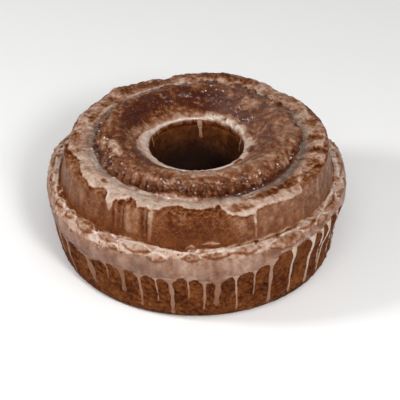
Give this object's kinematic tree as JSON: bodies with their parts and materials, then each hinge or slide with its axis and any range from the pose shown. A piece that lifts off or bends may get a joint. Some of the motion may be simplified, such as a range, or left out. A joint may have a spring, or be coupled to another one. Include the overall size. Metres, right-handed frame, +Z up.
{
  "type": "pudding cake",
  "caption": "Glazed ring cake with a craggy crown round a through hole, a flat shoulder, a smooth drum, a flange with crust flakes and a wall narrowing to a flat base.",
  "frame": {"origin": "on the axis of the hole at the level of the flat base", "axes": "+Z is up along the hole's axis, from the base to the crown; -Y faces the camera, and +X is to its right"},
  "size_m": [0.1911, 0.1911, 0.0851],
  "materials": {
    "glaze": "glossy sugar glaze over brown crust, pale where it is thick",
    "crumb": "matte porous baked crust"
  },
  "bodies": {
    "root": {"cake": "glaze"}
  },
  "joints": []
}
